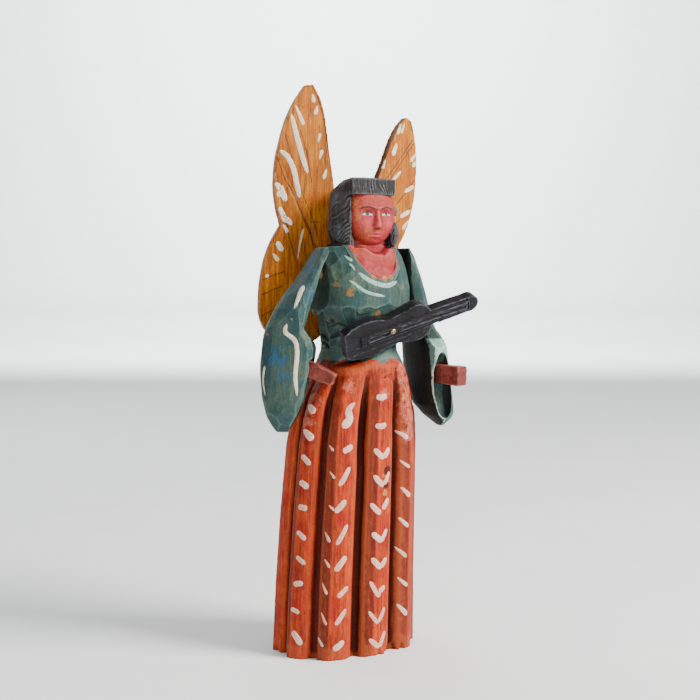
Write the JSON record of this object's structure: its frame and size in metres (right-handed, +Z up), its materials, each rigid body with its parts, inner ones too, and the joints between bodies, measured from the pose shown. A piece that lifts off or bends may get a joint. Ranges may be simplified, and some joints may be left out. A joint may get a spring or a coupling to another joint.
{
  "type": "carved wooden angel figurine",
  "caption": "Standing painted wooden angel with pleated skirt, pegged bell-sleeved arms, nailed board wings and a small nailed stringed instrument.",
  "frame": {"origin": "middle of the flat foot of the skirt, on the surface the figure stands on", "axes": "+Z up through the head, the figure faces -Y, its right hand is at -X and its left hand at +X"},
  "size_m": [0.1015, 0.0663, 0.271],
  "materials": {
    "skirt_paint": "satin",
    "robe_paint": "satin",
    "hair_paint": "satin",
    "skin_paint": "satin",
    "hand_paint": "satin",
    "wing_paint": "satin",
    "violin_paint": "satin",
    "stroke_paint": "satin",
    "bare_wood": "matte",
    "nail_steel": "satin"
  },
  "bodies": {
    "figure": {"carved_body": "skirt_paint", "right_shoulder_peg": "bare_wood", "left_shoulder_peg": "bare_wood", "right_wing_nail": "nail_steel", "left_wing_nail": "nail_steel", "violin_nail": "nail_steel"},
    "right_arm": {"right_sleeve": "robe_paint", "right_hand": "hand_paint"},
    "left_arm": {"left_sleeve": "robe_paint", "left_hand": "hand_paint"},
    "right_wing": {"right_wing": "wing_paint"},
    "left_wing": {"left_wing": "wing_paint"},
    "violin": {"violin": "violin_paint"}
  },
  "joints": [
    {"name": "right_arm_swing", "type": "hinge", "parent": "figure", "child": "right_arm", "pos_m": [-0.02, -0.011, 0.18], "axis": [-1, 0, 0], "range_deg": [-5, 30]},
    {"name": "left_arm_swing", "type": "hinge", "parent": "figure", "child": "left_arm", "pos_m": [0.023, -0.011, 0.18], "axis": [-1, 0, 0], "range_deg": [-8, 15]},
    {"name": "right_wing_turn", "type": "hinge", "parent": "figure", "child": "right_wing", "pos_m": [-0.00582, 0.00739, 0.178], "axis": [-0.1994, -0.9799, 0], "range_deg": [-3, 12]},
    {"name": "left_wing_turn", "type": "hinge", "parent": "figure", "child": "left_wing", "pos_m": [0.01182, 0.00739, 0.178], "axis": [-0.1994, 0.9799, 0], "range_deg": [-14, 1]},
    {"name": "violin_turn", "type": "hinge", "parent": "figure", "child": "violin", "pos_m": [0.0063, -0.0326, 0.154], "axis": [0, -0.9135, -0.4067], "range_deg": [-8, 4]}
  ]
}
